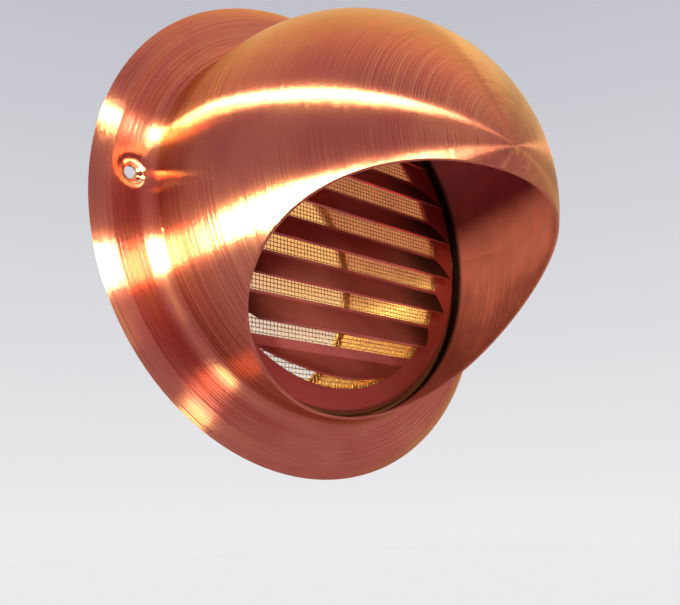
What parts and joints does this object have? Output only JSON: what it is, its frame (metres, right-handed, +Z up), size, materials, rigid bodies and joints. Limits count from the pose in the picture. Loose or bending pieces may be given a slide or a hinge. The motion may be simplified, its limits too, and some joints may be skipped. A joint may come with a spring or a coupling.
{
  "type": "spherical vent grille",
  "caption": "Wall vent with a half-ball copper hood open below, a round flange, fixed louvres, an insect mesh and a duct spigot.",
  "frame": {"origin": "on the duct's axis, in the plane of the wall that the flange's lip meets", "axes": "+Y along the spigot into the wall, +Z up, the hood stands out along -Y with its mouth below"},
  "size_m": [0.168, 0.1324, 0.168],
  "materials": {
    "hood_copper": "brushed copper",
    "plate_copper": "satin copper",
    "mesh_wire": "drawn copper wire",
    "spigot_copper": "satin copper"
  },
  "bodies": {
    "root": {"hood": "hood_copper", "louvre_plate": "plate_copper", "insect_mesh": "mesh_wire", "spigot": "spigot_copper"}
  },
  "joints": []
}
